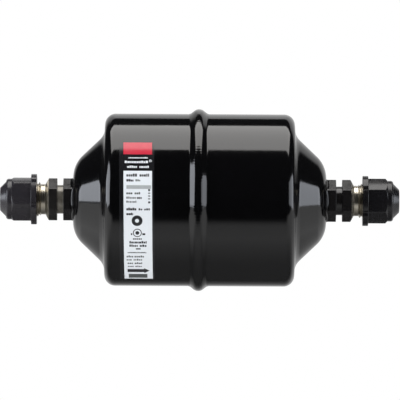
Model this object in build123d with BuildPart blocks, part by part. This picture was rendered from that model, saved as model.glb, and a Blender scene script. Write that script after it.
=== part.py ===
"""Hermetic liquid-line filter drier: welded steel shell, solid core, flare connections, screw caps.

Millimetres. X is the axis and points with the flow, from the inlet on the left to the outlet
on the right. The seam of the two shell halves lies at X = 0, and Z is up.
"""
import os
from math import atan2, cos, degrees, pi, radians, sin, tan

from build123d import *

os.makedirs("parts", exist_ok=True)

# Shell halves, pressed from sheet steel
shell_radius = 40.0
shell_wall = 1.5
barrel_half = 44.1
shoulder_radius = 5.0
step_flat = 4.7
cone_foot_fillet = 8.0
end_height = 14.7
nose_rim_radius = 16.35
nose_radius = 13.9

# Lap of the outlet half inside the inlet half, and the weld over it
lap_length = 5.0
lap_gap = 0.1
seam_height = 2.3
seam_crest_radius = 3.6
seam_toe_radius = 1.8
seam_flank_angle = 38.0
seam_toe_height = 0.1
seam_depth = 0.6

# Flare connectors, turned from hexagon bar
spigot_radius = 6.5
spigot_reach = 1.5
spigot_gap = 0.05
braze_width = 1.8
braze_height = 1.4
hex_flats = 17.0
hex_turn = 30.0
inner_hex_length = 4.6
neck_radius = 6.65
neck_length = 2.8
outer_hex_length = 3.85
hex_chamfer_angle = 30.0
relief_radius = 7.03
relief_length = 2.0
thread_radius = 7.9375
thread_length = 10.7
thread_chamfer = 0.9
flare_base_radius = 6.9
flare_base_length = 0.7
flare_tip_radius = 4.9
bore_radius = 3.75

# Screw caps, moulded in plastic
cap_mouth_gap = 2.05
cap_thread_gap = 0.15
cap_flange_radius = 11.7
cap_flange_length = 2.6
cap_hex_flats = 18.5
cap_hex_length = 8.05
cap_hex_chamfer = 0.95
cap_corner_fillet = 0.5
cap_collar_radius = 9.45
cap_collar_fillet = 1.2
cap_cone_length = 2.8
cap_tip_radius = 5.3
cap_end_wall = 3.3
cap_notch_radius = 1.1
inlet_cap_turn = 13.5
outlet_cap_turn = 30.0
seal_radius = 6.8
seal_thickness = 1.5
seal_gap = 0.2

# Label film on the inlet half
label_thickness = 0.15
label_from_seam = 20.4
label_width = 16.8
label_top_angle = 41.3
label_wrap_angle = 107.7

# Charge inside: spring, pressure plate, core, mat and perforated plate
spring_length = 26.7
spring_wire_radius = 1.0
spring_turns = 3.75
spring_small_gap = 1.4
spring_large_radius = 22.0
pressure_plate_gap = 0.4
pressure_plate_thickness = 1.2
pressure_plate_rim = 5.0
pressure_plate_bend = 2.5
window_radius = 3.4
window_inset = 7.6
window_count = 12
core_gap = 1.9
core_chamfer = 1.5
core_hole_radius = 9.0
core_floor = 15.0
mat_thickness = 3.0
mat_gap = 0.2
screen_thickness = 1.0
screen_hole_radius = 1.6
screen_ring_step = 8.0
screen_rings = 3
holes_per_ring = 6
seat_gap = 0.1

# Places and radii that follow from the sizes
nose_half = barrel_half + end_height
cone_foot_radius = shell_radius - shoulder_radius - step_flat
cone_angle = atan2(cone_foot_radius - nose_rim_radius, end_height)
lip_radius = shell_radius - shell_wall - lap_gap
flank_angle = radians(seam_flank_angle)
flank_start = seam_crest_radius * sin(flank_angle)
flank_top = shell_radius + seam_height - seam_crest_radius * (1 - cos(flank_angle))
flank_foot = shell_radius + seam_toe_height + seam_toe_radius * (1 - cos(flank_angle))
flank_end = flank_start + (flank_top - flank_foot) / tan(flank_angle)
toe_half = flank_end + seam_toe_radius * sin(flank_angle)
fused_radius = shell_radius - seam_depth
joggle_fused = lap_gap + fused_radius - lip_radius
joggle_end = 2 * lap_gap + shell_wall
hex_corner_radius = hex_flats / 2 / cos(pi / 6)
inner_hex_end = nose_half + inner_hex_length
neck_end = inner_hex_end + neck_length
outer_hex_end = neck_end + outer_hex_length
chamfer_length = (hex_corner_radius - relief_radius) * tan(radians(hex_chamfer_angle))
chamfer_end = outer_hex_end + chamfer_length
thread_start = chamfer_end + relief_length
thread_end = thread_start + thread_length
flare_base = thread_end + thread_chamfer + flare_base_length
flare_tip = flare_base + flare_base_radius - flare_tip_radius
cap_mouth = thread_start + cap_mouth_gap
cap_flange_end = cap_mouth + cap_flange_length
cap_hex_end = cap_flange_end + cap_hex_length
cap_collar_start = cap_hex_end + cap_hex_chamfer
cap_corner_radius = cap_hex_flats / 2 / cos(pi / 6)
cap_bore_radius = thread_radius + cap_thread_gap
cap_pocket_radius = seal_radius + seal_gap
cap_cavity_end = flare_tip + seal_thickness
cap_tip = cap_cavity_end + cap_end_wall
cap_cone_start = cap_tip - cap_cone_length
screen_end = barrel_half - shell_wall - seat_gap
screen_start = screen_end - screen_thickness
core_end = screen_start - mat_thickness
spring_start = shell_wall - nose_half
plate_start = spring_start + spring_length
core_start = plate_start + pressure_plate_thickness
core_radius = lip_radius - shell_wall - core_gap
plate_radius = shell_radius - shell_wall - pressure_plate_gap
window_circle = plate_radius - window_inset


def end_corners(inset):
    """Corners of a shell end, from barrel to nose face, set in from the outside by inset."""
    step = barrel_half - inset
    face = nose_half - inset
    shift = inset * tan(cone_angle) - inset / cos(cone_angle)
    return [(step, shell_radius - inset), (step, cone_foot_radius + shift), (face, nose_rim_radius + shift)]


def end_bends(inset):
    """Bend radii at those corners: shoulder, hollow at the cone's foot, and nose."""
    return [shoulder_radius - inset, cone_foot_fillet + inset, nose_radius - inset]


def on_side(side, *points):
    """Points given as distance from the seam and radius, on the side -1 or +1 of the seam."""
    return [(side * distance, radius) for distance, radius in points]


def cavity_outline(gap):
    """Outline of the outlet half's inside, down to the axis, standing off the steel by gap."""
    corners = end_corners(shell_wall + gap)
    bends = end_bends(shell_wall + gap)
    wall = FilletPolyline((0, shell_radius - shell_wall - gap), *corners, radius=bends[:2])
    Polyline(wall @ 0, (0, 0), (corners[-1][0], 0), wall @ 1)


def hexagon(flats, turn, mode=Mode.ADD):
    """Hexagon across flats, with a corner turned from Y towards Z."""
    RegularPolygon(flats / 2, 6, major_radius=False, rotation=turn, mode=mode)


for end, side, cap_turn in (("inlet", -1, inlet_cap_turn), ("outlet", 1, outlet_cap_turn)):
    # Shell half: barrel, rounded shoulder, flat step, cone and nose with the connector's hole.
    # The outlet half ends in a joggled lip that slips inside the inlet half, and the weld has
    # eaten a shallow hollow into both halves.
    outer_lip = [(0, fused_radius)]
    inner_lip = [(0, shell_radius - shell_wall)]
    if end == "outlet":
        outer_lip = [(-lap_length, lip_radius), (lap_gap, lip_radius), (joggle_fused, fused_radius)]
        inner_lip = [(-lap_length, lip_radius - shell_wall), (lap_gap, lip_radius - shell_wall)]
        inner_lip.append((joggle_end, shell_radius - shell_wall))
    outer_lip.append((toe_half, shell_radius))
    hole_radius = spigot_radius + spigot_gap
    with BuildPart() as shell:
        with BuildSketch(Plane.XZ):
            with BuildLine():
                outer_end = (nose_half, hole_radius)
                outside = FilletPolyline(
                    *on_side(side, *outer_lip, *end_corners(0), outer_end),
                    radius=[0] * (len(outer_lip) - 1) + end_bends(0),
                )
                inner_end = (nose_half - shell_wall, hole_radius)
                inside = FilletPolyline(
                    *on_side(side, *inner_lip, *end_corners(shell_wall), inner_end),
                    radius=[0] * (len(inner_lip) - 1) + end_bends(shell_wall),
                )
                Line(outside @ 0, inside @ 0)
                Line(outside @ 1, inside @ 1)
            make_face()
        revolve(axis=Axis.X)
    shell.part.label = f"{end}_shell"
    export_step(shell.part, f"parts/{end}_shell.step")

    # Flare connector: spigot, two hexagons with a neck between, relief, thread blank, flare, bore
    with BuildPart() as connector:
        spigot_end = nose_half - shell_wall - spigot_reach
        with BuildSketch(Plane.XZ):
            with BuildLine():
                turned_profile = on_side(
                    side,
                    (spigot_end, bore_radius),
                    (spigot_end, spigot_radius),
                    (nose_half, spigot_radius),
                    (nose_half, hex_corner_radius),
                    (inner_hex_end, hex_corner_radius),
                    (inner_hex_end, neck_radius),
                    (neck_end, neck_radius),
                    (neck_end, hex_corner_radius),
                    (outer_hex_end, hex_corner_radius),
                    (chamfer_end, relief_radius),
                    (thread_start, relief_radius),
                    (thread_start, thread_radius),
                    (thread_end, thread_radius),
                    (thread_end + thread_chamfer, flare_base_radius),
                    (flare_base, flare_base_radius),
                    (flare_tip, flare_tip_radius),
                    (flare_tip, bore_radius),
                )
                Polyline(*turned_profile, close=True)
            make_face()
        revolve(axis=Axis.X)
        with BuildSketch(Plane.YZ.offset(side * nose_half)):
            Circle(2 * hex_corner_radius)
            hexagon(hex_flats, hex_turn, mode=Mode.SUBTRACT)
        extrude(amount=side * (chamfer_end - nose_half), mode=Mode.SUBTRACT)
    connector.part.label = f"{end}_connector"
    export_step(connector.part, f"parts/{end}_connector.step")

    # Braze fillet round the foot of the inner hexagon
    with BuildPart() as braze:
        foot_radius = hex_flats / 2
        with BuildSketch(Plane.XZ):
            with BuildLine():
                fillet_profile = on_side(
                    side,
                    (nose_half, foot_radius),
                    (nose_half + braze_height, foot_radius),
                    (nose_half, foot_radius + braze_width),
                )
                Polyline(*fillet_profile, close=True)
            make_face()
        revolve(axis=Axis.X)
        with BuildSketch(Plane.YZ.offset(side * nose_half)):
            hexagon(hex_flats, hex_turn)
        extrude(amount=side * inner_hex_length, mode=Mode.SUBTRACT)
    braze.part.label = f"{end}_braze"
    export_step(braze.part, f"parts/{end}_braze.step")

    # Screw cap: notched flange, chamfered hexagon, round collar and coned tip over a blind bore
    with BuildPart() as cap:
        with BuildSketch(Plane.XZ):
            with BuildLine():
                collar = FilletPolyline(
                    *on_side(
                        side,
                        (cap_collar_start, cap_collar_radius),
                        (cap_cone_start, cap_collar_radius),
                        (cap_cone_start, cap_tip_radius + cap_cone_length),
                        (cap_tip, cap_tip_radius),
                    ),
                    radius=[cap_collar_fillet, 0],
                )
                rest_of_profile = on_side(
                    side,
                    (cap_tip, 0),
                    (cap_cavity_end, 0),
                    (cap_cavity_end, cap_pocket_radius),
                    (flare_tip, cap_pocket_radius),
                    (flare_tip, cap_bore_radius),
                    (cap_mouth, cap_bore_radius),
                    (cap_mouth, cap_flange_radius),
                    (cap_flange_end, cap_flange_radius),
                    (cap_flange_end, cap_corner_radius),
                    (cap_hex_end, cap_corner_radius),
                )
                Polyline(collar @ 1, *rest_of_profile, collar @ 0)
            make_face()
        revolve(axis=Axis.X)
        with BuildSketch(Plane.YZ.offset(side * cap_flange_end)):
            Circle(2 * cap_corner_radius)
            with BuildSketch(mode=Mode.SUBTRACT) as outline:
                hexagon(cap_hex_flats, cap_turn)
                fillet(outline.vertices(), cap_corner_fillet)
        extrude(amount=side * (cap_collar_start - cap_flange_end), mode=Mode.SUBTRACT)
        with BuildSketch(Plane.YZ.offset(side * cap_mouth)):
            with PolarLocations(cap_flange_radius, 6, start_angle=cap_turn):
                Circle(cap_notch_radius)
        extrude(amount=side * cap_flange_length, mode=Mode.SUBTRACT)
    cap.part.label = f"{end}_cap"
    export_step(cap.part, f"parts/{end}_cap.step")

    # Rubber disc that the cap presses against the flare
    with BuildPart() as seal:
        with BuildSketch(Plane.YZ.offset(side * flare_tip)):
            Circle(seal_radius)
        extrude(amount=side * seal_thickness)
    seal.part.label = f"{end}_cap_seal"
    export_step(seal.part, f"parts/{end}_cap_seal.step")

# Seam weld: a rounded crest, straight flanks and hollow toes, sunk a little into the steel, and a
# root that fills the groove between the halves
with BuildPart() as seam_weld:
    with BuildSketch(Plane.XZ):
        with BuildLine():
            ThreePointArc(
                (-flank_start, flank_top), (0, shell_radius + seam_height), (flank_start, flank_top)
            )
            for side in (-1, 1):
                foot = (side * flank_end, flank_foot)
                toe = (side * toe_half, shell_radius + seam_toe_height)
                Line((side * flank_start, flank_top), foot)
                TangentArc(toe, foot, tangent=(-side, 0))
                Line(toe, (side * toe_half, shell_radius))
            Polyline(
                (-toe_half, shell_radius),
                (0, fused_radius),
                (0, shell_radius - shell_wall),
                (2 * lap_gap, shell_radius - shell_wall),
                (joggle_fused, fused_radius),
                (toe_half, shell_radius),
            )
        make_face()
    revolve(axis=Axis.X)
seam_weld.part.label = "seam_weld"
export_step(seam_weld.part, "parts/seam_weld.step")

# Label: a film wrapped round the front of the inlet half
with BuildPart() as label:
    top = radians(label_top_angle)
    top_edge = Plane(origin=(0, 0, 0), x_dir=(1, 0, 0), z_dir=(0, -sin(top), -cos(top)))
    with BuildSketch(top_edge):
        with Locations((-label_from_seam, shell_radius)):
            Rectangle(label_width, label_thickness, align=(Align.MAX, Align.MIN))
    revolve(axis=Axis.X, revolution_arc=label_wrap_angle)
label.part.label = "label"
export_step(label.part, "parts/label.step")

# Spring: a conical coil from the nose, round the spigot, to the pressure plate
with BuildPart() as spring:
    small_radius = spigot_radius + spring_small_gap + spring_wire_radius
    coil_height = spring_length - 2 * spring_wire_radius
    with BuildLine() as coil:
        Helix(
            pitch=coil_height / spring_turns,
            height=coil_height,
            radius=small_radius,
            center=(spring_start + spring_wire_radius, 0, 0),
            direction=(1, 0, 0),
            cone_angle=degrees(atan2(spring_large_radius - small_radius, coil_height)),
        )
    with BuildSketch(Plane(origin=coil.line @ 0, z_dir=coil.line % 0)):
        Circle(spring_wire_radius)
    sweep(path=coil.line, is_frenet=True)
spring.part.label = "spring"
export_step(spring.part, "parts/spring.step")

# Pressure plate: a shallow pressed cup that centres the core, with flow windows round its edge
with BuildPart() as pressure_plate:
    rim_end = core_start + pressure_plate_rim
    inner_radius = plate_radius - pressure_plate_thickness
    with BuildSketch(Plane.XZ):
        with BuildLine():
            outside = FilletPolyline(
                (plate_start, 0), (plate_start, plate_radius), (rim_end, plate_radius),
                radius=pressure_plate_bend,
            )
            inside = FilletPolyline(
                (core_start, 0), (core_start, inner_radius), (rim_end, inner_radius),
                radius=pressure_plate_bend - pressure_plate_thickness,
            )
            Line(outside @ 0, inside @ 0)
            Line(outside @ 1, inside @ 1)
        make_face()
    revolve(axis=Axis.X)
    with BuildSketch(Plane.YZ.offset(plate_start)):
        with PolarLocations(window_circle, window_count):
            Circle(window_radius)
    extrude(amount=pressure_plate_thickness, mode=Mode.SUBTRACT)
pressure_plate.part.label = "pressure_plate"
export_step(pressure_plate.part, "parts/pressure_plate.step")

# Core: a moulded block of desiccant with a blind hole from the outlet end
with BuildPart() as core:
    with BuildSketch(Plane.YZ.offset(core_start)):
        Circle(core_radius)
    extrude(amount=core_end - core_start)
    chamfer(core.edges().filter_by(GeomType.CIRCLE), core_chamfer)
    with BuildSketch(Plane.YZ.offset(core_start + core_floor)):
        Circle(core_hole_radius)
    extrude(amount=core_end - core_start - core_floor, mode=Mode.SUBTRACT)
core.part.label = "desiccant_core"
export_step(core.part, "parts/desiccant_core.step")

# Polyester mat behind the core, cut to the shell's inside
with BuildPart() as mat:
    with BuildSketch(Plane.XZ):
        with BuildLine():
            cavity_outline(mat_gap)
        make_face()
    revolve(axis=Axis.X)
    with BuildSketch(Plane.YZ.offset(core_end)):
        Circle(shell_radius)
    extrude(amount=mat_thickness, mode=Mode.INTERSECT)
mat.part.label = "polyester_mat"
export_step(mat.part, "parts/polyester_mat.step")

# Perforated plate that carries the mat, resting on the step of the outlet half
with BuildPart() as perforated_plate:
    with BuildSketch(Plane.XZ):
        with BuildLine():
            cavity_outline(seat_gap)
        make_face()
    revolve(axis=Axis.X)
    with BuildSketch(Plane.YZ.offset(screen_start)):
        Circle(shell_radius)
        Circle(screen_hole_radius, mode=Mode.SUBTRACT)
        for ring in range(1, screen_rings + 1):
            with PolarLocations(ring * screen_ring_step, ring * holes_per_ring):
                Circle(screen_hole_radius, mode=Mode.SUBTRACT)
    extrude(amount=screen_thickness, mode=Mode.INTERSECT)
perforated_plate.part.label = "perforated_plate"
export_step(perforated_plate.part, "parts/perforated_plate.step")
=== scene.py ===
"""Filter drier: the finished surface of every piece, a pale studio, the light and the camera.

Sizes are in millimetres and become metres where a mesh is made. X is the axis, the inlet end lies
at -X, and the label faces -Y.
"""

from math import ceil, cos, pi, radians, sin, tan

import bmesh
import bpy
import numpy as np
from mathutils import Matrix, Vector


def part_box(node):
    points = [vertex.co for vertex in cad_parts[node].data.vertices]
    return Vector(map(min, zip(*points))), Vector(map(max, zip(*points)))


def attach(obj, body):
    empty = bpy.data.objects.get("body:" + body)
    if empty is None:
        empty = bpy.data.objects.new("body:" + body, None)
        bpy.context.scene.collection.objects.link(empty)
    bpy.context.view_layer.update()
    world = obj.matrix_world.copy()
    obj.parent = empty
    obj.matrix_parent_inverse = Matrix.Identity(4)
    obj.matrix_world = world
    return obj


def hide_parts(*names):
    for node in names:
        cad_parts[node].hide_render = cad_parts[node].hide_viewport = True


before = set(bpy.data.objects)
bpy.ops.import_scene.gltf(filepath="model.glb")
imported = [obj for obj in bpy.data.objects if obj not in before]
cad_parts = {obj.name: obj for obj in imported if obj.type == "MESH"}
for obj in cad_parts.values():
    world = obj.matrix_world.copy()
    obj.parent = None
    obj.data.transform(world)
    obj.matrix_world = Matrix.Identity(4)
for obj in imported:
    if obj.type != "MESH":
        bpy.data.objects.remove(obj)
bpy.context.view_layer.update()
METRE = 1000.0


def low(node, axis):
    """Lowest coordinate of a CAD node along an axis, in millimetres."""
    return round(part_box(node)[0][axis] * METRE, 3)


def high(node, axis):
    """Highest coordinate of a CAD node along an axis, in millimetres."""
    return round(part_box(node)[1][axis] * METRE, 3)


# Shell halves; lengths along the axis are counted from the seam
shell_radius = high("inlet_shell", 2)
nose_half = high("outlet_shell", 0)
lip_end = low("outlet_shell", 0)
shell_wall = 1.5
end_height = 14.7
barrel_half = nose_half - end_height
shoulder_radius = 5.0
step_flat = 4.7
cone_foot_radius = shell_radius - shoulder_radius - step_flat
cone_foot_fillet = 8.0
nose_rim_radius = 16.35
nose_radius = 13.9
connector_hole = 6.55
lap_gap = 0.1
lip_radius = shell_radius - shell_wall - lap_gap
joggle_run = 1.0
joggle_end = 2 * lap_gap + shell_wall
edge_rounding = 0.2

# Seam weld
seam_toe = high("seam_weld", 0)
seam_crest = high("seam_weld", 2)
seam_crest_radius = 3.6
seam_toe_radius = 1.8
seam_flank_angle = radians(38)
seam_toe_height = 0.1
seam_depth = 0.6
seam_shift = -0.45
seam_wander = 0.25
ripple_count = 190
ripple_depth = 0.03

# Flare connectors
spigot_end = low("outlet_connector", 0)
flare_tip = high("outlet_connector", 0)
bore_radius = 3.75
spigot_radius = 6.5
hex_flats = 17.0
hex_turn = 30.0
hex_corner_fillet = 0.35
inner_hex_length = 4.6
inner_hex_end = nose_half + inner_hex_length
neck_radius = 6.65
neck_length = 2.8
neck_end = inner_hex_end + neck_length
outer_hex_length = 3.85
outer_hex_end = neck_end + outer_hex_length
relief_radius = 7.03
relief_length = 2.0
chamfer_slope = tan(radians(30))
thread_radius = 7.9375
thread_pitch = 25.4 / 18
thread_length = 10.7
thread_chamfer = 0.9
flare_base_radius = 6.9
flare_base_length = 0.7
flare_tip_radius = 4.9
flare_base = flare_tip - flare_base_radius + flare_tip_radius
thread_end = flare_base - flare_base_length - thread_chamfer
thread_start = thread_end - thread_length
chamfer_end = thread_start - relief_length
thread_depth = 0.8675
thread_crest = 0.176
thread_entry_slope = 1.2
thread_row = 0.06
braze_width = 1.8
braze_height = 1.4

# Screw caps
cap_mouth = low("outlet_cap", 0)
cap_tip = high("outlet_cap", 0)
cap_flange_radius = high("outlet_cap", 1)
cap_flange_length = 2.6
cap_flange_end = cap_mouth + cap_flange_length
cap_hex_flats = 18.5
cap_face_crown = 0.42
cap_hex_length = 8.05
cap_hex_end = cap_flange_end + cap_hex_length
cap_hex_chamfer = 0.95
cap_collar_start = cap_hex_end + cap_hex_chamfer
cap_corner_fillet = 0.5
cap_collar_radius = 9.45
cap_collar_fillet = 1.2
cap_cone_length = 2.8
cap_cone_start = cap_tip - cap_cone_length
cap_tip_radius = 5.3
cap_cavity_end = high("outlet_cap_seal", 0)
cap_pocket_radius = 7.0
cap_bore_radius = 8.0875
cap_notch_radius = 1.1
cap_thread_crest = 0.397
cap_thread_inner_radius = 7.35
cap_thread_depth = cap_bore_radius - cap_thread_inner_radius
cap_thread_end = 86.2
cap_thread_row = 0.08
cap_dimple_radius = 1.6
cap_dimple_floor_radius = 1.2
cap_dimple_depth = 0.15
cap_turns = {"inlet": 13.5, "outlet": 30.0}

# Label: its height is measured along the arc from the film's top edge
label_left = low("label", 0)
label_right = high("label", 0)
label_top = radians(41.3)
label_arc = radians(107.7) * shell_radius
label_film = 0.15
label_lean = 0.0093
print_layer = 0.02
print_sink = 0.03

# Stage, in metres
floor_level = -0.13

# Smoothness of the meshes
round_steps = 256
sharp_angle = radians(38)


def over_circle(count):
    """Evenly spaced angles round the axis, from +Y towards +Z."""
    return np.arange(count) * (2 * pi / count)


def hexagon_angles(flats, fillet, turn, on_flat, on_corner):
    """Angles round the axis that put vertices at the ends of each rounded hexagon corner."""
    apothem = flats / 2
    half_flat = np.arctan((apothem - fillet) * tan(pi / 6) / apothem)
    across = np.linspace(-half_flat, half_flat, on_flat, endpoint=False)
    corner = np.linspace(half_flat, pi / 3 - half_flat, on_corner, endpoint=False)
    sector = np.concatenate([across, corner])
    middles = radians(turn) + pi / 6 + np.arange(6) * pi / 3
    return np.concatenate([middle + sector for middle in middles])


def hexagon_radius(angles, flats, fillet, turn):
    """Distance from the axis to a hexagon with rounded corners, at each angle."""
    apothem = flats / 2
    from_corner = (angles - radians(turn) + pi / 6) % (pi / 3) - pi / 6
    flat = apothem / np.cos(pi / 6 - np.abs(from_corner))
    centre = (apothem - fillet) / cos(pi / 6)
    inside_root = np.maximum(fillet**2 - (centre * np.sin(from_corner)) ** 2, 0)
    rounded = centre * np.cos(from_corner) + np.sqrt(inside_root)
    half_flat = np.arctan((apothem - fillet) * tan(pi / 6) / apothem)
    return np.where(np.abs(from_corner) < pi / 6 - half_flat, rounded, flat)


def crowned(angles, hexagon, crown, turn):
    """A hexagon's radius, out by half of crown in mid-face and in by as much at the corners."""
    from_corner = (angles - radians(turn) + pi / 6) % (pi / 3) - pi / 6
    from_middle = (pi / 6 - np.abs(from_corner)) / (pi / 6)
    return hexagon + crown * (0.5 - from_middle**2)


def notched_radius(angles, radius, notch, turn):
    """Distance from the axis to a flange with six round notches, at each angle."""
    from_notch = (angles - radians(turn) + pi / 6) % (pi / 3) - pi / 6
    inside_root = np.maximum(notch**2 - (radius * np.sin(from_notch)) ** 2, 0)
    return radius * np.cos(from_notch) - np.sqrt(inside_root), np.abs(from_notch) * radius < notch


def unit(vectors):
    """Each vector at length one."""
    return vectors / np.maximum(np.linalg.norm(vectors, axis=-1, keepdims=True), 1e-9)


def outline(angles, *corners):
    """Rows of a lathe profile: (distance, radius) at each angle, each corner with its own bend.

    A corner is (distance, radius) for a sharp one, or (distance, radius, bend, steps).
    """
    ones = np.ones(len(angles))
    points = [np.stack([corner[0] * ones, corner[1] * ones], axis=-1) for corner in corners]
    rows = []
    for index, corner in enumerate(corners):
        point = points[index]
        if len(corner) == 2:
            rows.append(point)
            continue
        bend, steps = corner[2:]
        back = unit(points[index - 1] - point)
        ahead = unit(points[(index + 1) % len(points)] - point)
        half = np.arccos(np.clip((back * ahead).sum(axis=-1), -1, 1))[:, None] / 2
        centre = point + unit(back + ahead) * bend / np.sin(half)
        start = point + back * bend / np.tan(half) - centre
        end = point + ahead * bend / np.tan(half) - centre
        sweep = pi - 2 * half
        for step in range(steps + 1):
            share = step / steps
            turned = np.sin((1 - share) * sweep) * start + np.sin(share * sweep) * end
            rows.append(centre + turned / np.sin(sweep))
    return rows


def lathe(name, angles, rows, side):
    """Closed surface through the rows, turned round the axis on the side -1 or +1 of the seam."""
    grid = np.stack(rows)
    around = grid[..., 1]
    places = np.stack([side * grid[..., 0], around * np.cos(angles), around * np.sin(angles)], axis=-1)
    count, turns = around.shape
    closed = around[0].max() > 1e-6
    mesh = bpy.data.meshes.new(name)
    faces = []
    for row in range(count if closed else count - 1):
        this, following = row * turns, (row + 1) % count * turns
        for step in range(turns):
            beside = (step + 1) % turns
            faces.append((this + step, this + beside, following + beside, following + step))
    mesh.from_pydata((places.reshape(-1, 3) / METRE).tolist(), [], faces)
    return tidy(mesh)


def tidy(mesh):
    """Joins doubled points, turns the faces outwards and keeps real edges crisp."""
    shape = bmesh.new()
    shape.from_mesh(mesh)
    bmesh.ops.remove_doubles(shape, verts=shape.verts, dist=1e-8)
    bmesh.ops.recalc_face_normals(shape, faces=shape.faces)
    for edge in shape.edges:
        edge.smooth = len(edge.link_faces) == 2 and edge.calc_face_angle(0) < sharp_angle
    for face in shape.faces:
        face.smooth = True
    shape.to_mesh(mesh)
    shape.free()
    return mesh


def add_piece(name, mesh, material, body="root", replaced=()):
    """Puts a mesh in the scene as a piece of the object."""
    piece = bpy.data.objects.new(name, mesh)
    bpy.context.scene.collection.objects.link(piece)
    mesh.materials.append(material)
    weighted = piece.modifiers.new("Flat faces", "WEIGHTED_NORMAL")
    weighted.keep_sharp = True
    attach(piece, body)
    if replaced:
        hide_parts(*replaced)
    return piece


class Surface:
    """A procedural material around one Principled shader."""

    def __init__(self, name, **sockets):
        self.material = bpy.data.materials.new(name)
        self.material.use_nodes = True
        self.tree = self.material.node_tree
        self.tree.nodes.clear()
        self.shader = self.node("BsdfPrincipled", **sockets)
        output = self.node("OutputMaterial")
        self.tree.links.new(self.shader.outputs[0], output.inputs["Surface"])
        self.place = self.node("TexCoord").outputs["Object"]

    def node(self, kind, settings=(), **inputs):
        """Adds a node; its inputs are numbers or other nodes' sockets, named with underscores."""
        made = self.tree.nodes.new("ShaderNode" + kind)
        for key, value in dict(settings).items():
            setattr(made, key, value)
        for key, value in inputs.items():
            self.feed(made.inputs[key.replace("_", " ")], value)
        return made

    def feed(self, socket, value):
        """Sets a socket to a number or links it."""
        if isinstance(value, bpy.types.NodeSocket):
            self.tree.links.new(value, socket)
        else:
            socket.default_value = value

    def set(self, **inputs):
        """Feeds sockets of the shader."""
        for key, value in inputs.items():
            self.feed(self.shader.inputs[key.replace("_", " ")], value)

    def noise(self, size, detail=2.0, stretch=(1, 1, 1)):
        """Noise whose grains are about size millimetres wide."""
        scale = [METRE / size / part for part in stretch]
        mapping = self.node("Mapping", Vector=self.place, Scale=scale)
        return self.node("TexNoise", Vector=mapping.outputs[0], Scale=1.0, Detail=detail).outputs[0]

    def ramp(self, value, *stops):
        """Colour or number along a ramp; stops are (position, value)."""
        made = self.node("ValToRGB", Fac=value)
        elements = made.color_ramp.elements
        elements[0].position = stops[0][0]
        elements[1].position = stops[-1][0]
        added = [elements.new(position) for position, _ in stops[1:-1]]
        for element in added:
            element.color = (0, 0, 0, 1)
        for element, (_, shade) in zip(elements, stops):
            element.color = (*shade, 1) if isinstance(shade, tuple) else (shade, shade, shade, 1)
        return made.outputs[0]

    def graded(self, value, start, end, stops):
        """Level that changes with value from start to end; stops are (value, level)."""
        share = self.math("DIVIDE", self.math("SUBTRACT", value, start), end - start)
        return self.ramp(share, *[((at - start) / (end - start), level) for at, level in stops])

    def mix(self, share, first, second):
        """Colour mixed by share."""
        made = self.tree.nodes.new("ShaderNodeMix")
        made.data_type = "RGBA"
        for socket, value in ((made.inputs[0], share), (made.inputs[6], first), (made.inputs[7], second)):
            if isinstance(value, tuple):
                value = (*value, 1)
            self.feed(socket, value)
        return made.outputs[2]

    def math(self, operation, first, second=0.0):
        """Result of one sum on two numbers."""
        made = self.tree.nodes.new("ShaderNodeMath")
        made.operation = operation
        self.feed(made.inputs[0], first)
        self.feed(made.inputs[1], second)
        return made.outputs[0]

    def axis(self, index):
        """One coordinate of the surface point, in millimetres."""
        parts = self.node("SeparateXYZ", Vector=self.place)
        return self.math("MULTIPLY", parts.outputs[index], METRE)

    def bumps(self, *layers):
        """Stacks bump layers, each (height socket, depth in millimetres)."""
        normal = None
        for height, depth in layers:
            made = self.node("Bump", Height=height, Distance=depth / METRE, Strength=1.0)
            if normal is not None:
                self.tree.links.new(normal, made.inputs["Normal"])
            normal = made.outputs[0]
        self.set(Normal=normal)


def paint(name, peel=0.006, peel_size=2.4):
    """Black stoving paint: glossy, with a faint orange peel and a few dust nibs."""
    surface = Surface(name, IOR=1.5)
    cloud = surface.noise(30, 3)
    dust = surface.ramp(surface.noise(0.5, 1), (0.71, 0.0), (0.78, 1.0))
    dark = surface.mix(cloud, (0.0010, 0.0010, 0.0012), (0.0018, 0.0018, 0.0022))
    surface.set(Base_Color=surface.mix(surface.math("MULTIPLY", dust, 0.3), dark, (0.02, 0.02, 0.022)))
    surface.set(Roughness=surface.ramp(cloud, (0.3, 0.07), (0.7, 0.11)))
    surface.bumps((surface.noise(peel_size, 2), peel), (surface.noise(9, 1), 2.5 * peel), (dust, 0.002))
    return surface.material


def connector_steel(name, cover):
    """Turned steel with paint over part of its length; cover gives the paint along the axis."""
    surface = Surface(name, IOR=1.5)
    along = surface.math("ABSOLUTE", surface.axis(0))
    ragged = 0.5
    wobble = surface.math("MULTIPLY", surface.noise(2.5, 2), ragged)
    place = surface.math("ADD", along, wobble)
    start, end = cover[0][0], cover[-1][0]
    share = surface.math("DIVIDE", surface.math("SUBTRACT", place, start + ragged / 2), end - start)
    stops = [((distance - start) / (end - start), amount) for distance, amount in cover]
    painted = surface.ramp(share, *stops)
    turning = surface.noise(0.22, 2, stretch=(1, 60, 60))
    steel = surface.mix(turning, (0.42, 0.39, 0.32), (0.66, 0.62, 0.54))
    stain = surface.ramp(surface.noise(3.5, 3), (0.42, 0.0), (0.66, 1.0))
    steel = surface.mix(surface.math("MULTIPLY", stain, 0.45), steel, (0.30, 0.26, 0.19))
    surface.set(Base_Color=surface.mix(painted, steel, (0.008, 0.0072, 0.0075)))
    surface.set(Metallic=surface.math("SUBTRACT", 1.0, painted))
    bare = surface.ramp(turning, (0.3, 0.24), (0.7, 0.36))
    coat = surface.ramp(surface.noise(4), (0.3, 0.17), (0.7, 0.26))
    surface.set(Roughness=surface.mix(painted, bare, coat))
    surface.bumps((turning, 0.003), (surface.noise(1.2, 2), 0.004))
    return surface.material


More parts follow.
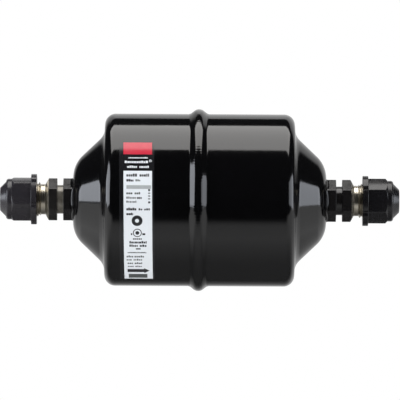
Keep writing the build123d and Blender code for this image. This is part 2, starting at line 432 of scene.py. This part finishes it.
def cap_plastic(name, deep, worn):
    """Dark moulded plastic: satin, with a fine grain and handling marks."""
    surface = Surface(name, IOR=1.45)
    cloud = surface.noise(5, 3)
    rub = surface.ramp(surface.noise(0.7, 2, stretch=(6, 1, 1)), (0.62, 0.0), (0.75, 1.0))
    rubbed = tuple(3 * part for part in worn)
    rub_share = surface.math("MULTIPLY", rub, 0.2)
    plain = surface.mix(cloud, deep, worn)
    surface.set(Base_Color=surface.mix(rub_share, plain, rubbed))
    surface.set(Roughness=surface.ramp(cloud, (0.3, 0.22), (0.7, 0.30)))
    surface.bumps((surface.noise(0.25, 2), 0.002), (surface.noise(3, 2), 0.012))
    return surface.material


def print_film(name, shade, deeper, roughness=0.16):
    """Printed label film: an even tone with a faint mottle."""
    surface = Surface(name, IOR=1.48)
    surface.set(Base_Color=surface.mix(surface.noise(1.6, 3), shade, deeper))
    surface.set(Roughness=surface.ramp(surface.noise(4, 2), (0.3, roughness - 0.04), (0.7, roughness + 0.04)))
    surface.bumps((surface.noise(6, 2), 0.01))
    return surface.material


def inner_metal(name, shade, deeper, line_size, stretch, roughness=0.35):
    """Bare steel of an inner piece, with lines from drawing or rolling."""
    surface = Surface(name, Metallic=1.0)
    lines = surface.noise(line_size, 3, stretch=stretch)
    surface.set(Base_Color=surface.mix(lines, deeper, shade))
    surface.set(Roughness=surface.ramp(lines, (0.3, roughness - 0.07), (0.7, roughness + 0.07)))
    surface.bumps((lines, 0.006))
    return surface.material


def grainy(name, shade, deeper, grain, depth, roughness, stretch=(1, 1, 1)):
    """Matt surface of grains or fibres."""
    surface = Surface(name)
    grains = surface.noise(grain, 4, stretch=stretch)
    surface.set(Base_Color=surface.mix(surface.ramp(grains, (0.35, 0.0), (0.65, 1.0)), deeper, shade))
    surface.set(Roughness=surface.ramp(grains, (0.0, roughness - 0.05), (1.0, roughness + 0.05)))
    surface.bumps((grains, depth))
    return surface.material


def shell_end(inset):
    """Corners and bends of a shell end from the barrel to the nose, set in by inset."""
    slope = np.arctan2(cone_foot_radius - nose_rim_radius, end_height)
    shift = inset * tan(slope) - inset / cos(slope)
    return (
        (barrel_half - inset, shell_radius - inset, shoulder_radius - inset, 18),
        (barrel_half - inset, cone_foot_radius + shift, cone_foot_fillet + inset, 14),
        (nose_half - inset, nose_rim_radius + shift, nose_radius - inset, 24),
    )


def seam_middle(angles):
    """How far the middle of the weld lies from the seam, at each angle."""
    return seam_shift + seam_wander * np.cos(angles)


def shell_half(end, side):
    """Pressed shell half with its lip, wall and connector hole."""
    angles = over_circle(round_steps)
    inner = shell_radius - shell_wall
    outside_lip = [(0.0, shell_radius - seam_depth)]
    inside_lip = [(0.0, inner)]
    if end == "outlet":
        lip_inside = lip_radius - shell_wall
        under_weld = (lap_gap + joggle_run, shell_radius - seam_depth)
        outside_lip = [(lip_end, lip_radius), (lap_gap, lip_radius), under_weld]
        inside_lip = [(joggle_end, inner), (lap_gap, lip_inside), (lip_end, lip_inside)]
    rows = outline(
        angles,
        *outside_lip,
        (seam_toe + side * seam_middle(angles), shell_radius),
        *shell_end(0.0),
        (nose_half, connector_hole),
        (nose_half - shell_wall, connector_hole),
        *reversed(shell_end(shell_wall)),
        *inside_lip,
    )
    return lathe(f"{end}_shell_finish", angles, rows, side)


def seam_bead():
    """Weld bead: crest, straight flanks and hollow toes, with the ripples of a turning weld."""
    angles = over_circle(ripple_count * 5)
    level = shell_radius + seam_toe_height
    peak = seam_crest + seam_crest_radius * (1 / cos(seam_flank_angle) - 1)
    bend = (peak - level) / tan(seam_flank_angle)
    rows = outline(
        angles,
        (-seam_toe, level),
        (-bend, level, seam_toe_radius, 8),
        (0.0, peak, seam_crest_radius, 24),
        (bend, level, seam_toe_radius, 8),
        (seam_toe, level),
    )
    for row in rows:
        across = row[:, 0] / seam_toe
        wave = 0.5 - 0.5 * np.cos(ripple_count * angles + 2.2 * pi * across**2)
        drift = 0.6 + 0.4 * np.sin(7 * angles + 2) * np.sin(3 * angles)
        row[:, 1] -= ripple_depth * wave * drift * (1 - np.minimum(across**2, 1))
    rows += outline(
        angles, (seam_toe, shell_radius), (0.0, shell_radius - seam_depth), (-seam_toe, shell_radius)
    )
    for row in rows:
        row[:, 0] += seam_middle(angles)
    return lathe("seam_weld_finish", angles, rows, 1)


def crest_distance(angles, distance, side, shift):
    """How far along the axis a thread's nearest crest is, at a distance from the seam."""
    phase = (side * distance / thread_pitch - angles / (2 * pi) + shift + 0.5) % 1 - 0.5
    return np.abs(phase) * thread_pitch


def outer_thread(angles, side):
    """Rows of the connector's thread from the relief groove to the flare."""
    root = thread_radius - thread_depth
    rows = []
    start, end = thread_start - 0.02, thread_end + thread_chamfer
    exit_slope = (thread_radius - flare_base_radius) / thread_chamfer
    for distance in np.linspace(start, end, ceil((end - start) / thread_row)):
        off_crest = crest_distance(angles, distance, side, 0.0)
        ridge = thread_radius - np.maximum(off_crest - thread_crest / 2, 0) * tan(pi / 3)
        entry = relief_radius + (distance - thread_start) * thread_entry_slope
        exit_limit = flare_base_radius + (end - distance) * exit_slope
        limit = min(thread_radius, max(entry, relief_radius), exit_limit)
        radius = np.minimum(np.maximum(ridge, min(root, limit)), limit)
        rows.append(np.stack([distance * np.ones(len(angles)), radius], axis=-1))
    return rows


def cap_thread(angles, side):
    """Rows of the cap's inner thread, from its inner end out to the mouth."""
    rows = []
    start, end = cap_mouth + 0.02, cap_thread_end
    for distance in np.linspace(end, start, ceil((end - start) / cap_thread_row)):
        off_crest = crest_distance(angles, distance, side, 0.5)
        ridge = cap_thread_depth - np.maximum(off_crest - cap_thread_crest / 2, 0) * tan(pi / 3)
        entry = max(0.0, distance - cap_mouth - 0.25)
        runout = max(0.0, end - distance)
        height = np.clip(ridge, 0, min(cap_thread_depth, entry, runout))
        rows.append(np.stack([distance * np.ones(len(angles)), cap_bore_radius - height], axis=-1))
    return rows


def connector(end, side):
    """Flare connector: spigot, two hexagons, neck, relief, thread, flare and bore."""
    angles = hexagon_angles(hex_flats, hex_corner_fillet, hex_turn, 18, 6)
    hexagon = hexagon_radius(angles, hex_flats, hex_corner_fillet, hex_turn)
    corner = hex_flats / 2 / cos(pi / 6)
    chamfer = outer_hex_end + (corner - hexagon) * chamfer_slope
    edge = (edge_rounding, 3)
    rows = outline(
        angles,
        (spigot_end, bore_radius),
        (spigot_end, spigot_radius, *edge),
        (nose_half, spigot_radius),
        (nose_half, hexagon),
        (inner_hex_end, hexagon, *edge),
        (inner_hex_end, neck_radius, *edge),
        (neck_end, neck_radius, *edge),
        (neck_end, hexagon, *edge),
        (chamfer, hexagon, 0.1, 2),
        (chamfer_end, relief_radius, 0.3, 3),
        (thread_start - 0.05, relief_radius),
    )
    rows += outer_thread(angles, side)
    rows += outline(
        angles,
        (thread_end + thread_chamfer + 0.01, flare_base_radius),
        (flare_base, flare_base_radius, 0.15, 2),
        (flare_tip, flare_tip_radius, 0.15, 2),
        (flare_tip, bore_radius + 0.3),
        (flare_tip - 0.3, bore_radius),
    )
    return lathe(f"{end}_connector_finish", angles, rows, side)


def braze(end, side):
    """Braze fillet that fills the corner between the nose and the inner hexagon."""
    angles = hexagon_angles(hex_flats, hex_corner_fillet, hex_turn, 18, 6)
    hexagon = hexagon_radius(angles, hex_flats, hex_corner_fillet, hex_turn)
    apothem = hex_flats / 2
    foot = np.maximum(hexagon + 0.45, apothem + braze_width - 0.05)
    climb = braze_height - (hexagon - apothem) * 0.3
    wander = 0.06 * np.sin(5 * angles + side) * np.sin(3 * angles + 1)
    rows = []
    for share in np.linspace(0, 1, 9):
        turn = share * pi / 2
        distance = nose_half + (climb - 0.06 + wander) * (1 - sin(turn))
        radius = hexagon + (foot - hexagon) * (1 - cos(turn))
        rows.append(np.stack([distance, radius], axis=-1))
    rows += outline(angles, (nose_half - 0.02, foot), (nose_half - 0.02, hexagon - 0.1))
    rows.append(np.stack([rows[0][..., 0], hexagon - 0.1], axis=-1))
    return lathe(f"{end}_braze_finish", angles, rows, side)


def cap(end, side):
    """Moulded screw cap: notched flange, chamfered hexagon, collar, coned tip and inner thread."""
    turn = cap_turns[end]
    angles = hexagon_angles(cap_hex_flats, cap_corner_fillet, turn, 20, 10)
    hexagon = hexagon_radius(angles, cap_hex_flats, cap_corner_fillet, turn)
    hexagon = crowned(angles, hexagon, cap_face_crown, turn)
    corner = hexagon.max()
    slope = (cap_collar_start - cap_hex_end) / (corner - cap_collar_radius)
    chamfer = np.minimum(cap_hex_end + (corner - hexagon) * slope, cap_collar_start)
    notched, in_notch = notched_radius(angles, cap_flange_radius, cap_notch_radius, turn)
    flange = np.where(in_notch, notched, cap_flange_radius)
    top = np.minimum(hexagon, cap_collar_radius)
    rows = outline(
        angles,
        (cap_cavity_end, 0.0),
        (cap_cavity_end, cap_pocket_radius, 0.2, 2),
        (flare_tip, cap_pocket_radius, 0.15, 2),
        (flare_tip, cap_bore_radius, 0.2, 2),
        (cap_thread_end + 0.1, cap_bore_radius),
    )
    rows += cap_thread(angles, side)
    rows += outline(
        angles,
        (cap_mouth, cap_bore_radius + 0.1),
        (cap_mouth, flange, 0.25, 3),
        (cap_flange_end, flange, 0.25, 3),
        (cap_flange_end, hexagon, 0.12, 3),
        (chamfer, hexagon, 0.1, 2),
        (cap_collar_start, top),
        (cap_cone_start, top, cap_collar_fillet, 8),
        (cap_cone_start, cap_tip_radius + cap_cone_length),
        (cap_tip, cap_tip_radius, 0.3, 4),
        (cap_tip, cap_dimple_radius),
        (cap_tip - cap_dimple_depth, cap_dimple_floor_radius),
        (cap_tip - cap_dimple_depth, 0.0),
    )
    return lathe(f"{end}_cap_finish", angles, rows, side)


class FilmPrint:
    """Flat shapes wrapped on the barrel; arc is the distance down from the label's top edge."""

    def __init__(self, bottom, top):
        self.bottom = bottom
        self.top = top
        self.points = []
        self.faces = []

    def point(self, across, arc, height):
        """Adds the point at across, arc and height above the barrel, and gives its number."""
        turn = label_top - arc / shell_radius
        radius = shell_radius + height
        self.points.append((across + label_lean * arc, -radius * cos(turn), radius * sin(turn)))
        return len(self.points) - 1

    def ribbon(self, stations):
        """Slab between two edges; each station is (first across, first arc, second across, second arc)."""
        rings = []
        for first, first_arc, second, second_arc in stations:
            corners = [self.point(first, first_arc, self.bottom), self.point(second, second_arc, self.bottom)]
            corners += [self.point(second, second_arc, self.top), self.point(first, first_arc, self.top)]
            rings.append(corners)
        for ring, following in zip(rings, rings[1:]):
            for index in range(4):
                beside = (index + 1) % 4
                self.faces.append((ring[index], ring[beside], following[beside], following[index]))
        self.faces += [tuple(rings[0]), tuple(rings[-1])]

    def bar(self, left, right, arc, height):
        """Upright bar between two places across, centred on arc."""
        steps = max(2, ceil(height / 0.6) + 1)
        down = np.linspace(arc - height / 2, arc + height / 2, steps)
        self.ribbon([(left, place, right, place) for place in down])

    def field(self, left, right, start, end):
        """Large field from one arc to another."""
        self.bar(left, right, (start + end) / 2, end - start)

    def ring(self, across, arc, outer, inner, start=0.0, sweep=360.0):
        """Ring, or a part of one, drawn round a centre."""
        stations = []
        for turn in np.radians(np.linspace(start, start + sweep, 49)):
            first = (across + outer * cos(turn), arc + outer * sin(turn))
            second = (across + inner * cos(turn), arc + inner * sin(turn))
            stations.append((*first, *second))
        self.ribbon(stations)

    def words(self, arc, height, *spans, letter=0.75, gap=0.22, seed=1):
        """A line of print as small blocks, with no letters in it."""
        chance = np.random.default_rng(seed)
        for left, right in spans:
            place = left
            while place < right - 0.3:
                width = min(letter * chance.uniform(0.7, 1.25), right - place)
                tall = height * chance.choice([0.78, 0.78, 1.0])
                self.bar(place, place + width, arc + (height - tall) / 2, tall)
                place += width + gap

    def mesh(self, name):
        """The shapes as one mesh."""
        made = bpy.data.meshes.new(name)
        made.from_pydata((np.array(self.points) / METRE).tolist(), [], self.faces)
        return tidy(made)


def label_base():
    """The label's film."""
    film = FilmPrint(-0.02, label_film)
    film.field(label_left, label_right - label_lean * label_arc, 0.0, label_arc)
    return film.mesh("label_film")


def label_red():
    """Bare red field at the top of the label."""
    layer = FilmPrint(label_film - print_sink, label_film + print_layer)
    layer.field(-35.25, -22.05, 0.21, 6.96)
    return layer.mesh("label_red_field")


def label_white():
    """White panel of the label."""
    layer = FilmPrint(label_film - print_sink, label_film + print_layer)
    layer.field(-35.2, -22.1, 15.35, 74.33)
    return layer.mesh("label_white_panel")


def label_pale_print():
    """White lines on the black field."""
    layer = FilmPrint(label_film - print_sink, label_film + print_layer)
    layer.words(8.75, 0.7, (-32.9, -24.1), letter=0.55, gap=0.2, seed=3)
    layer.words(10.9, 1.2, (-34.6, -23.9), letter=0.8, gap=0.24, seed=4)
    layer.ring(-22.85, 10.35, 0.62, 0.35)
    layer.words(13.35, 1.1, (-33.5, -28.5), (-27.9, -23.6), letter=0.75, gap=0.22, seed=5)
    return layer.mesh("label_pale_print")


def label_dark_print():
    """Black lines, marks and the flow arrow on the white panel."""
    layer = FilmPrint(label_film, label_film + 2 * print_layer)
    layer.words(17.42, 1.4, (-33.85, -28.6), (-27.8, -23.45), letter=0.8, gap=0.22, seed=6)
    layer.words(19.88, 1.15, (-33.85, -30.6), letter=0.8, gap=0.12, seed=7)
    for index, arc in enumerate((24.4, 25.8, 27.1, 28.4, 30.0)):
        layer.bar(-23.9, -23.0, arc, 0.9 if index in (0, 4) else 0.5)
    layer.words(27.91, 1.1, (-29.0, -26.7), letter=0.7, gap=0.15, seed=23)
    layer.words(33.09, 1.25, (-33.9, -29.0), letter=0.85, gap=0.12, seed=8)
    layer.words(33.2, 0.95, (-28.3, -26.3), (-25.75, -23.15), letter=0.65, gap=0.22, seed=9)
    layer.words(35.35, 1.15, (-33.9, -30.85), letter=0.75, gap=0.12, seed=10)
    layer.ring(-29.05, 38.53, 2.5, 0.9)
    layer.ring(-28.95, 44.39, 2.05, 1.65)
    layer.ring(-28.95, 44.39, 0.9, 0.05)
    layer.bar(-31.95, -31.3, 45.01, 0.9)
    layer.bar(-26.65, -25.3, 45.01, 0.9)
    layer.words(49.15, 1.25, (-32.6, -24.7), letter=0.8, gap=0.16, seed=11)
    layer.words(50.97, 1.2, (-32.65, -28.8), (-27.9, -24.75), letter=0.8, gap=0.2, seed=12)
    layer.bar(-29.7, -27.55, 52.72, 0.7)
    arrow_tip, arrow_base, arrow_arc, arrow_half = -23.5, -26.0, 66.85, 1.9
    layer.bar(-33.7, arrow_base, arrow_arc, 2.4)
    half = np.linspace(-arrow_half, arrow_half, 9)
    lean = (arrow_tip - arrow_base) / arrow_half
    layer.ribbon([(arrow_base, arrow_arc + part, arrow_tip - abs(part) * lean + 0.02, arrow_arc + part)
                  for part in half])
    return layer.mesh("label_dark_print")


def label_grey_bar():
    """Pale grey bar under the upper lines."""
    layer = FilmPrint(label_film, label_film + 2 * print_layer)
    layer.bar(-33.85, -22.6, 23.0, 1.7)
    return layer.mesh("label_grey_bar")


def label_fine_print():
    """Fine lines on the white panel and the bar at its foot."""
    layer = FilmPrint(label_film, label_film + 2 * print_layer)
    layer.field(-33.2, -24.6, 69.65, 73.3)
    layer.words(19.88, 0.95, (-29.7, -27.2), letter=0.55, gap=0.22, seed=13)
    layer.words(25.81, 1.05, (-33.9, -30.75), (-30.1, -27.6), letter=0.7, gap=0.18, seed=14)
    layer.words(27.91, 0.95, (-33.9, -29.5), letter=0.6, gap=0.25, seed=15)
    layer.words(29.74, 0.95, (-33.9, -29.0), letter=0.6, gap=0.28, seed=16)
    layer.words(47.34, 1.0, (-31.0, -26.95), letter=0.7, gap=0.18, seed=17)
    layer.words(54.82, 0.65, (-33.5, -24.55), letter=0.7, gap=0.12, seed=18)
    layer.words(57.14, 1.15, (-34.0, -31.0), (-30.4, -25.7), letter=0.7, gap=0.2, seed=19)
    layer.words(59.13, 1.1, (-34.0, -31.4), (-30.8, -26.9), letter=0.65, gap=0.28, seed=20)
    layer.words(61.42, 1.15, (-33.6, -30.95), (-30.35, -26.9), letter=0.7, gap=0.2, seed=21)
    layer.words(63.59, 1.05, (-33.5, -30.8), (-30.1, -26.95), letter=0.65, gap=0.2, seed=22)
    return layer.mesh("label_fine_print")


def build_shells():
    """Painted shell halves, the seam weld and the braze fillets."""
    black = paint("black_paint")
    weld = paint("weld_paint", peel=0.008, peel_size=1.6)
    brazed = paint("braze_paint", peel=0.012, peel_size=1.2)
    for end, side in (("inlet", -1), ("outlet", 1)):
        add_piece(f"{end}_shell_finish", shell_half(end, side), black,
                  replaced=[f"{end}_shell"])
        add_piece(f"{end}_braze_finish", braze(end, side), brazed,
                  replaced=[f"{end}_braze"])
    add_piece("seam_weld_finish", seam_bead(), weld, replaced=["seam_weld"])


def build_ends():
    """Connectors and screw caps."""
    inlet_cover = ((spigot_end, 1.0), (63.2, 1.0), (63.6, 0.65), (65.9, 0.65), (66.3, 0.99),
                   (69.9, 0.99), (70.5, 0.15), (72.0, 0.0), (flare_tip, 0.0))
    outlet_cover = ((spigot_end, 1.0), (70.4, 1.0), (71.4, 0.5), (71.9, 0.0), (flare_tip, 0.0))
    # The same plastic in two tones: the inlet cap is given a paler colour than the outlet cap
    paler_cap_plastic = cap_plastic("inlet_cap_plastic", (0.016, 0.0152, 0.019), (0.024, 0.0215, 0.024))
    darker_cap_plastic = cap_plastic("outlet_cap_plastic", (0.0045, 0.0044, 0.0058), (0.0075, 0.0070, 0.0080))
    for end, side, cover, plastic in (("inlet", -1, inlet_cover, paler_cap_plastic), ("outlet", 1, outlet_cover, darker_cap_plastic)):
        steel = connector_steel(f"{end}_connector_steel", cover)
        add_piece(f"{end}_connector_finish", connector(end, side), steel,
                  replaced=[f"{end}_connector"])
        add_piece(f"{end}_cap_finish", cap(end, side), plastic,
                  body=f"{end}_cap_body", replaced=[f"{end}_cap"])


def build_label():
    """Label film and its print."""
    black = print_film("label_black", (0.012, 0.012, 0.014), (0.009, 0.009, 0.010))
    red = print_film("label_red", (0.54, 0.030, 0.055), (0.50, 0.025, 0.048))
    white = print_film("label_white", (0.80, 0.83, 0.85), (0.77, 0.80, 0.83))
    ink = print_film("label_ink", (0.02, 0.02, 0.022), (0.03, 0.03, 0.032))
    grey = print_film("label_grey_ink", (0.36, 0.38, 0.38), (0.42, 0.44, 0.44))
    fine = print_film("label_fine_ink", (0.070, 0.078, 0.074), (0.085, 0.092, 0.090))
    add_piece("label_film", label_base(), black, replaced=["label"])
    add_piece("label_red_field", label_red(), red)
    add_piece("label_white_panel", label_white(), white)
    add_piece("label_pale_print", label_pale_print(), white)
    add_piece("label_dark_print", label_dark_print(), ink)
    add_piece("label_grey_bar", label_grey_bar(), grey)
    add_piece("label_fine_print", label_fine_print(), fine)


def dress_inner_nodes():
    """Materials of the CAD nodes that stay as they are."""
    sheet = inner_metal("sheet_steel", (0.58, 0.58, 0.57), (0.40, 0.40, 0.40), 0.6, (1, 25, 1))
    wire = inner_metal("spring_steel", (0.50, 0.49, 0.47), (0.30, 0.29, 0.28), 0.3, (1, 8, 8))
    core = grainy("desiccant", (0.66, 0.58, 0.47), (0.40, 0.34, 0.27), 0.9, 0.25, 0.88)
    felt = grainy("felt", (0.86, 0.86, 0.82), (0.62, 0.62, 0.58), 0.35, 0.15, 0.92, (1, 4, 1))
    rubber = grainy("seal_rubber", (0.030, 0.030, 0.031), (0.020, 0.020, 0.021), 0.4, 0.01, 0.7)
    materials = {
        "spring": wire, "pressure_plate": sheet, "perforated_plate": sheet, "desiccant_core": core,
        "polyester_mat": felt, "inlet_cap_seal": rubber, "outlet_cap_seal": rubber,
    }
    for node, material in materials.items():
        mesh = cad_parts[node].data
        mesh.materials.clear()
        mesh.materials.append(material)


def flat_panel(name, corners, material):
    """Flat stage panel, corners in metres."""
    mesh = bpy.data.meshes.new(name)
    mesh.from_pydata(corners, [], [tuple(range(len(corners)))])
    mesh.materials.append(material)
    panel = bpy.data.objects.new(name, mesh)
    bpy.context.scene.collection.objects.link(panel)
    return panel


def glow(name, strength, back=None, reach=None, colour=(1.0, 0.985, 0.97, 1)):
    """Light of a softbox; from back to front of the stage its strength may change."""
    surface = Surface(name)
    light = surface.node("Emission", Color=colour, Strength=strength)
    if back is not None:
        depth = surface.math("DIVIDE", surface.axis(1), METRE)
        share = surface.math("DIVIDE", surface.math("SUBTRACT", depth, reach[0]), reach[1] - reach[0])
        grade = surface.math("ADD", surface.math("MULTIPLY", share, back - strength), strength)
        surface.feed(light.inputs["Strength"], grade)
    output = next(node for node in surface.tree.nodes if node.type == "OUTPUT_MATERIAL")
    surface.tree.links.new(light.outputs[0], output.inputs["Surface"])
    return surface.material


def build_lights():
    """Softbox above, softboxes at both sides and weak fill lamps in front."""
    front, behind, left, right, height = -0.37, 0.52, -0.67, 0.75, 1.0
    above = flat_panel(
        "softbox_above",
        [(left, front, height), (right, front, height), (right, behind, height), (left, behind, height)],
        glow("softbox_above_light", 4.3, back=3.4, reach=(front, behind)),
    )
    left_outline = ((-35, -5), (-35, 27), (-24, 35), (-8, 33), (3, 18.3), (13, 10), (13, -1.5),
                    (-3, -2), (-6, -5.5))
    right_outline = ((-45, -5), (-45, 20), (-20, 21), (-9, 20), (3, 18), (10, 14), (10, -5))
    cool = (0.88, 0.92, 1.0, 1)
    away = 1.25
    panels = [above]
    for name, side, corners, light in (
        ("left", -1, left_outline, glow("softbox_left_light", 5.3, colour=cool)),
        ("right", 1, right_outline,
         glow("softbox_right_light", 1.9, back=4.0, reach=(-away, 0.0), colour=cool)),
    ):
        places = []
        for azimuth, elevation in corners:
            turn, climb = radians(azimuth), radians(elevation)
            places.append((side * away, away * tan(turn), max(away * tan(climb) / cos(turn), floor_level)))
        panels.append(flat_panel(f"softbox_{name}", places, light))
    for panel in panels:
        panel.visible_camera = False
        panel.visible_shadow = False
    for name, place, power in (("fill_left", (-0.9, -1.9, 0.5), 4.0), ("fill_right", (0.9, -1.9, 0.5), 4.0)):
        lamp = bpy.data.lights.new(name, "AREA")
        lamp.size = 0.9
        lamp.energy = power
        holder = bpy.data.objects.new(name, lamp)
        bpy.context.scene.collection.objects.link(holder)
        holder.location = place
        aim = -holder.location
        holder.rotation_mode = "QUATERNION"
        holder.rotation_quaternion = aim.to_track_quat("-Z", "Y")
        holder.visible_camera = False
        holder.visible_glossy = False


def build_floor():
    """Pale floor: white to the camera far off, with the shadow near the object.

    In reflections it glows at levels painted by place: the middle in depth, with a painted shadow under the
    object and painted shade in front of and just behind it, the sides in breadth.
    """
    surface = Surface("floor_pale", Base_Color=(0.80, 0.80, 0.80, 1), Roughness=0.9)
    output = next(node for node in surface.tree.nodes if node.type == "OUTPUT_MATERIAL")
    ray = surface.node("LightPath")
    right_of = surface.axis(0)
    across = surface.math("ABSOLUTE", right_of)
    depth = surface.axis(1)
    away = surface.math("SQRT", surface.math("ADD", surface.math("POWER", across, 2.0),
                                             surface.math("POWER", depth, 2.0)))
    far = surface.graded(away, 0, 1500, ((375, 0.0), (900, 1.0)))
    # Levels by depth: painted shadow under the object and just behind it, brighter in front of it and far
    # behind
    painted_shadow_stops = ((-330, 0.02), (-280, 0.08), (-210, 0.60), (-120, 0.67), (-70, 0.47), (-24, 0.28),
                    (0, 0.22), (30, 0.16), (84, 0.08), (300, 0.60))
    side_stops = ((-1900, 0.1), (-1700, 1.0), (-200, 1.0), (200, 0.8), (450, 0.85), (1700, 0.85),
                  (1900, 0.1))
    middle = surface.graded(depth, -400, 400, painted_shadow_stops)
    beside = surface.graded(right_of, -2000, 2000, side_stops)
    well_behind = surface.graded(depth, 0, 1000, ((100, 0.0), (300, 1.0)))
    # Painted shade: a dark band at the front of the floor, as reflections see it
    painted_front_shade = surface.graded(depth, -400, -200, ((-380, 0.0), (-280, 1.0)))
    beside = surface.mix(well_behind, beside, (0.6, 0.6, 0.6))
    beside = surface.mix(painted_front_shade, (0.02, 0.02, 0.02), beside)
    to_side = surface.graded(across, 0, 400, ((120, 0.0), (248, 1.0)))
    # Painted reflection: the floor as glossy rays see it, with its painted shadow and shade
    painted_reflection = surface.node("Emission", Color=surface.mix(to_side, middle, beside), Strength=1.0)
    white = surface.node("Emission", Color=(1, 1, 1, 1), Strength=1.0)
    base = surface.node("MixShader", Fac=surface.math("MULTIPLY", far, ray.outputs["Is Camera Ray"]))
    surface.tree.links.new(surface.shader.outputs[0], base.inputs[1])
    surface.tree.links.new(white.outputs[0], base.inputs[2])
    whole = surface.node("MixShader", Fac=ray.outputs["Is Glossy Ray"])
    surface.tree.links.new(base.outputs[0], whole.inputs[1])
    surface.tree.links.new(painted_reflection.outputs[0], whole.inputs[2])
    surface.tree.links.new(whole.outputs[0], output.inputs["Surface"])
    size = 8.0
    flat_panel("floor", [(-size, -size, floor_level), (size, -size, floor_level), (size, size, floor_level),
                         (-size, size, floor_level)], surface.material)


def build_world():
    """White to the camera; in reflections bright behind the object, fading to both sides."""
    world = bpy.data.worlds.new("studio")
    bpy.context.scene.world = world
    world.use_nodes = True
    tree = world.node_tree
    tree.nodes.clear()

    def add(kind, **settings):
        made = tree.nodes.new("ShaderNode" + kind)
        for key, value in settings.items():
            setattr(made, key, value)
        return made

    def link(source, target):
        tree.links.new(source, target)

    def blend(share, first, second):
        made = add("Mix", data_type="RGBA")
        link(share, made.inputs[0])
        for socket, value in ((made.inputs[6], first), (made.inputs[7], second)):
            if isinstance(value, bpy.types.NodeSocket):
                link(value, socket)
            else:
                socket.default_value = (value, value, value, 1)
        return made.outputs[2]

    dim, dull, widest, top_edge = 0.025, 0.25, 50, 38.5
    ray = add("LightPath")
    direction = add("SeparateXYZ")
    link(add("TexCoord").outputs["Generated"], direction.inputs[0])
    turn = add("Math", operation="ARCTAN2")
    link(direction.outputs[0], turn.inputs[0])
    link(direction.outputs[1], turn.inputs[1])
    spread = add("MapRange")
    link(turn.outputs[0], spread.inputs["Value"])
    spread.inputs["From Min"].default_value = radians(-widest)
    spread.inputs["From Max"].default_value = radians(widest)
    fade = add("ValToRGB")
    link(spread.outputs[0], fade.inputs[0])
    fade_stops = ((-31, dim), (-26, 0.21), (-22, 0.40), (-12, 0.52), (-3, 0.78), (3, 0.80), (12, 0.68),
                  (38, 0.60), (42, 0.28), (46, dim))
    shares = [(azimuth + widest) / (2 * widest) for azimuth, _ in fade_stops]
    elements = fade.color_ramp.elements
    elements[0].position = shares[0]
    elements[1].position = shares[-1]
    for share in shares[1:-1]:
        elements.new(share)
    for element, (_, level) in zip(elements, fade_stops):
        element.color = (level, level, level, 1)
    below_top = add("Math", operation="LESS_THAN")
    link(direction.outputs[2], below_top.inputs[0])
    below_top.inputs[1].default_value = sin(radians(top_edge))
    backdrop = blend(below_top.outputs[0], dim, fade.outputs[0])
    ambient = blend(ray.outputs["Is Glossy Ray"], dull, backdrop)
    colour = blend(ray.outputs["Is Camera Ray"], ambient, 1.0)
    background = add("Background")
    link(colour, background.inputs[0])
    link(background.outputs[0], add("OutputWorld").inputs[0])


def build_camera():
    """Level camera three metres in front, rolled a little as in the photograph."""
    distance, frame_width = 3.0, 0.18604
    aim_right, aim_up, roll = 0.00016, 0.00005, -0.32
    camera = bpy.data.cameras.new("camera")
    camera.sensor_width = 36.0
    camera.lens = camera.sensor_width * distance / frame_width
    holder = bpy.data.objects.new("camera", camera)
    bpy.context.scene.collection.objects.link(holder)
    holder.location = (aim_right, -distance, aim_up)
    holder.rotation_euler = (pi / 2, radians(roll), 0)
    camera.clip_end = 20.0
    bpy.context.scene.camera = holder


build_shells()
build_ends()
build_label()
dress_inner_nodes()
build_floor()
build_lights()
build_world()
build_camera()
bpy.context.scene.view_settings.view_transform = "Standard"
